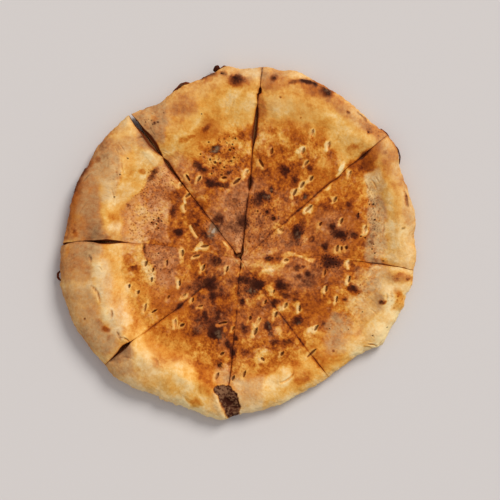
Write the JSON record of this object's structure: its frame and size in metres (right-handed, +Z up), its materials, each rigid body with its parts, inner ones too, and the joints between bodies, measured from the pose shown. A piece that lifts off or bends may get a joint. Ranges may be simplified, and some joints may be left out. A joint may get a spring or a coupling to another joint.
{
  "type": "focaccia",
  "caption": "Round flatbread with a puffed rim and a flat docked middle, baked in golden and scorched patches and cut right across into wedge slices that lie together.",
  "frame": {"origin": "on the table, under the middle of the bread's bounding box", "axes": "+Z up through the crust, +Y towards the top of the picture, +X towards its right"},
  "size_m": [0.2566, 0.2546, 0.0234],
  "materials": {
    "baked_crust": "baked wheat crust, pale dough to golden brown with scorched spots"
  },
  "bodies": {
    "root": {"slice_nne": "baked_crust", "slice_ene": "baked_crust", "slice_ese": "baked_crust", "slice_sse": "baked_crust", "slice_ssw": "baked_crust", "slice_wsw": "baked_crust", "slice_wnw": "baked_crust", "slice_nnw": "baked_crust"}
  },
  "joints": []
}
